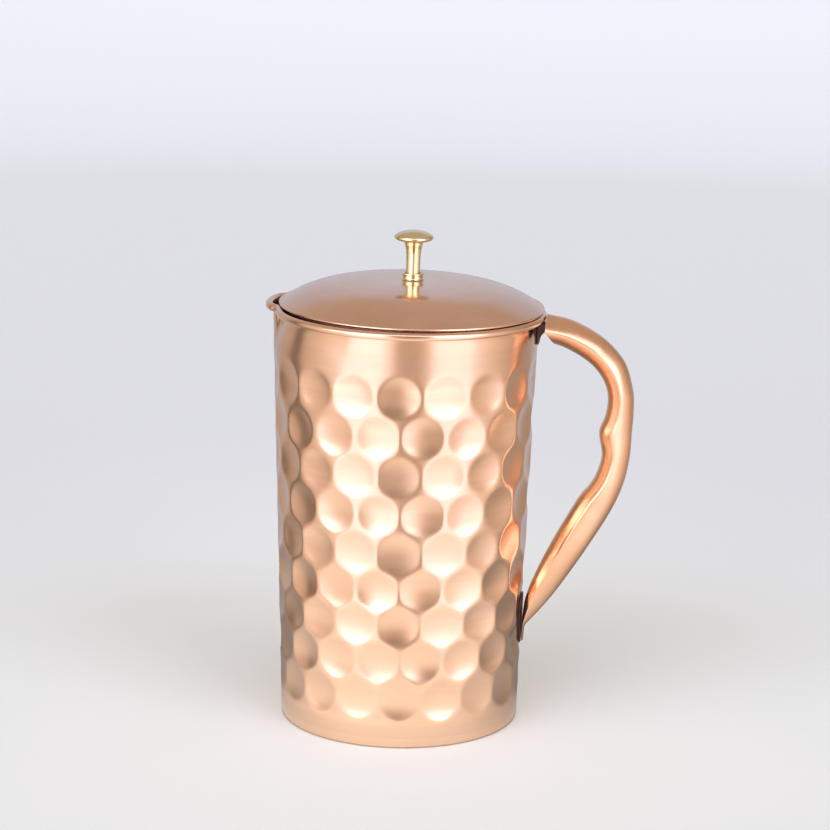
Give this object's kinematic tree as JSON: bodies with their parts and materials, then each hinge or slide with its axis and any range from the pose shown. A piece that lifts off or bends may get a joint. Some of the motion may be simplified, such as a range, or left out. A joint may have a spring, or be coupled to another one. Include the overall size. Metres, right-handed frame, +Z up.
{
  "type": "lidded water jug",
  "caption": "Tapered hammered copper water jug with a rolled rim, pinched pouring beak, hollow side handle and loose domed lid with a turned brass knob.",
  "frame": {"origin": "centre of the underside of the base, on the surface the jug stands on", "axes": "+Z up along the jug's axis, +X towards the handle, -X towards the pouring beak"},
  "size_m": [0.154, 0.1164, 0.2072],
  "materials": {
    "wall_copper": "hammered copper, satin brushed",
    "handle_copper": "polished copper",
    "plate_oxide": "dark oxidised copper",
    "lid_copper": "satin spun copper",
    "knob_brass": "polished brass"
  },
  "bodies": {
    "jug": {"body_shell": "wall_copper", "rim_wire": "wall_copper", "base_disc": "wall_copper", "handle_tube": "handle_copper", "upper_handle_plate": "plate_oxide", "lower_handle_plate": "plate_oxide"},
    "lid": {"lid_dome": "lid_copper", "lid_skirt": "lid_copper", "knob": "knob_brass", "knob_collar": "knob_brass", "knob_washer": "knob_brass", "knob_screw": "knob_brass"}
  },
  "joints": [
    {"name": "lid_lift", "type": "slide", "parent": "jug", "child": "lid", "axis": [0, 0, 1], "range_m": [0, 0.06]}
  ]
}
